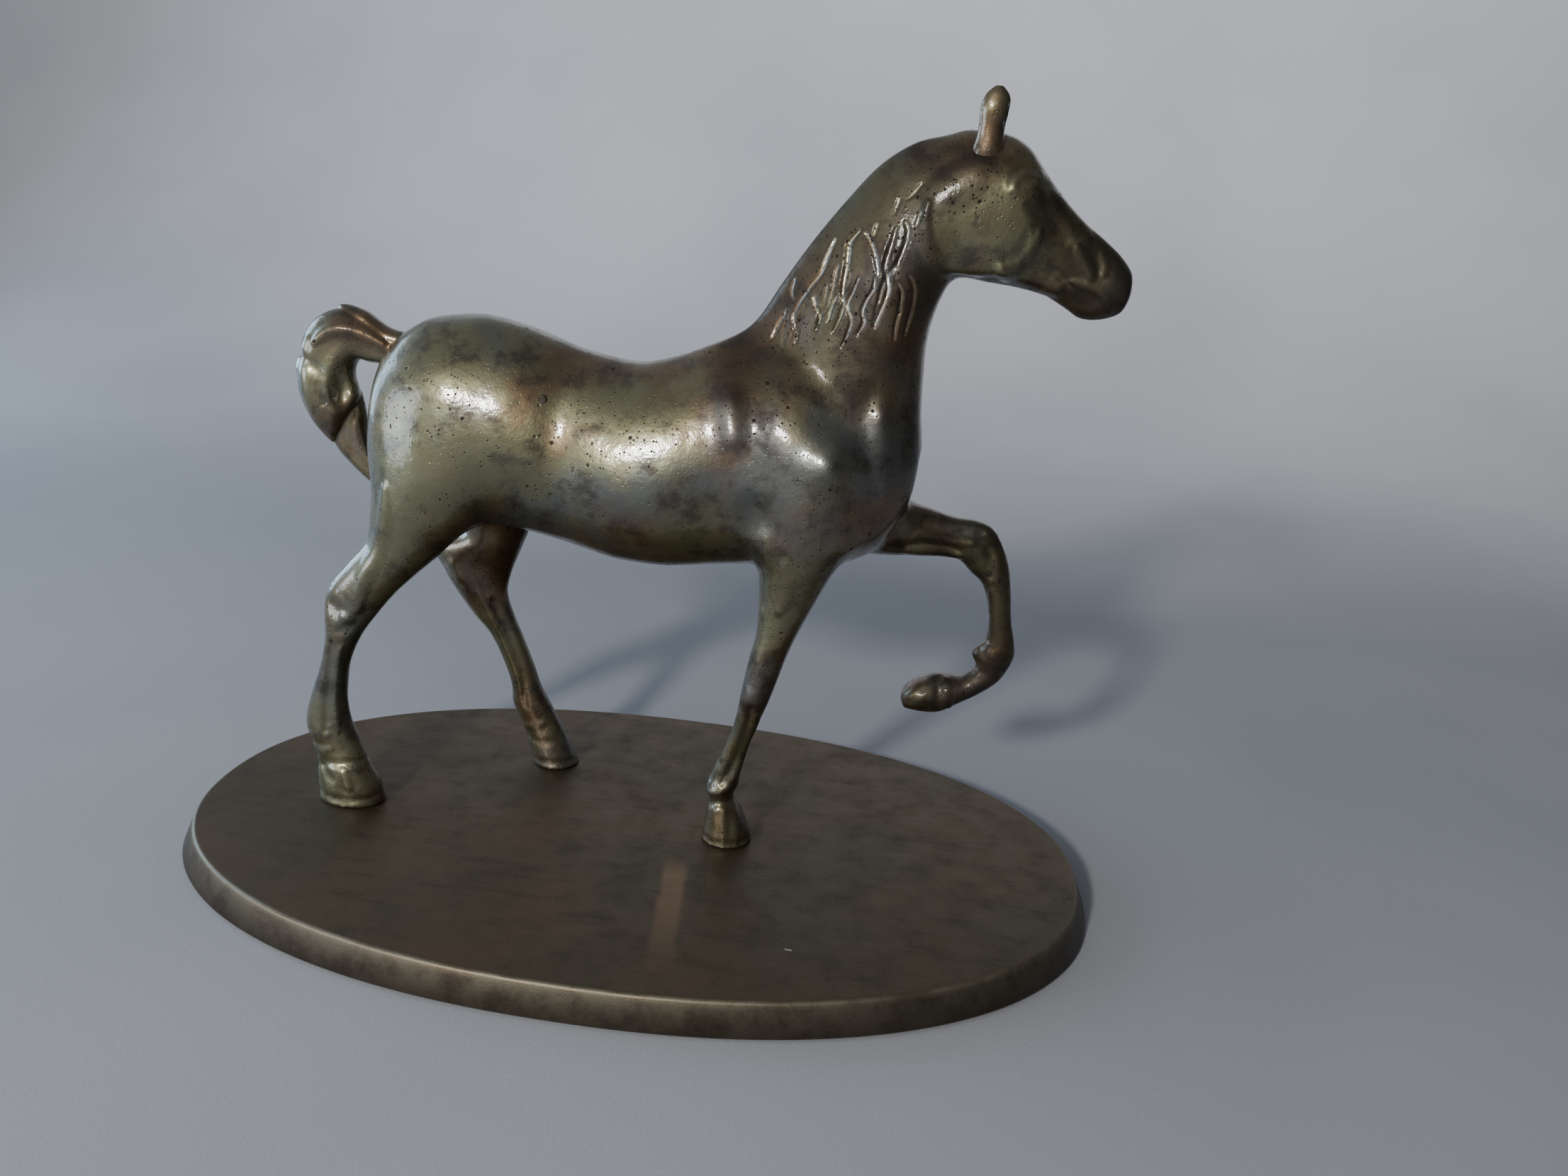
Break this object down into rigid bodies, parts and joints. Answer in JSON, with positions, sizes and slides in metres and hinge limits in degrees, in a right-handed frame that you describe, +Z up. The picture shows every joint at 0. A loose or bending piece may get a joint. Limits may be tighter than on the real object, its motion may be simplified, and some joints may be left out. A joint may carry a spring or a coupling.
{
  "type": "horse statue",
  "caption": "Cast bronze horse walking with its left foreleg raised, on an oval bronze base with a felt pad",
  "frame": {"origin": "middle of the underside of the base, on the table", "axes": "+X toward the horse's head along the length of the base, +Y toward the horse's left side, +Z up"},
  "size_m": [0.287, 0.179, 0.238],
  "materials": {
    "horse_bronze": "satin patinated bronze",
    "base_bronze": "satin patinated bronze",
    "plug_bronze": "dull bronze",
    "steel": "plain",
    "felt": "felt"
  },
  "bodies": {
    "root": {"base_plate": "base_bronze", "base_felt": "felt", "torso": "horse_bronze", "neck_and_head": "horse_bronze", "right_ear": "horse_bronze", "left_ear": "horse_bronze", "right_foreleg": "horse_bronze", "left_foreleg": "horse_bronze", "right_hindleg": "horse_bronze", "left_hindleg": "horse_bronze", "tail": "horse_bronze", "hoof_screws": "steel", "hoof_washers": "steel", "leg_pins": "steel", "neck_pins": "steel", "tail_pin": "steel", "core_plugs": "plug_bronze"}
  },
  "joints": []
}
